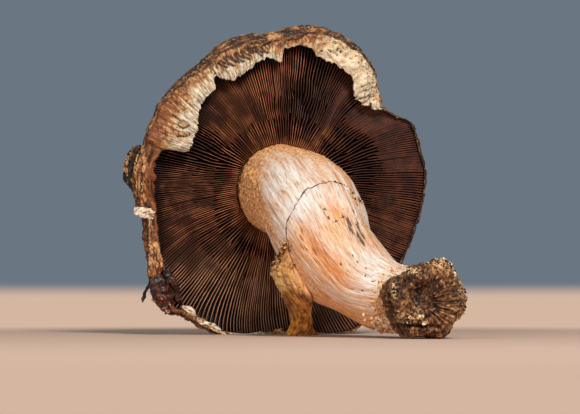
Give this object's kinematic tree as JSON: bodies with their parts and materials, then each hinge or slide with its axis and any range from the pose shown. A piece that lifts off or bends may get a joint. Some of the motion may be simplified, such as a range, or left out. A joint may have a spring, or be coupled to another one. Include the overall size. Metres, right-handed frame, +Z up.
{
  "type": "portobello mushroom",
  "caption": "Large open mushroom lying on its side: broad domed cap with a torn rolled margin, radiating dark gills, a thick bent stem with a hanging torn ring, and peat on its foot.",
  "frame": {"origin": "on the table, under the middle of the mushroom's own bounding box", "axes": "+Z up from the table, -Y the side the gills and the stem's foot face, +X to the right as the gills are looked at, which is the way the stem leans"},
  "size_m": [0.1182, 0.1082, 0.1162],
  "materials": {
    "cap_flesh": "dry brown skin, scaly and cracked, cream where the flesh shows",
    "gills": "dark red-brown, matt, thin blades",
    "stem_flesh": "cream with pink and orange streaks, dry and fibrous",
    "ring_veil": "ochre, fibrous and matt",
    "peat": "dark fibrous peat, rough and crumbly"
  },
  "bodies": {
    "root": {"cap": "cap_flesh", "gills": "gills", "stem": "stem_flesh", "ring": "ring_veil", "soil": "peat"}
  },
  "joints": []
}
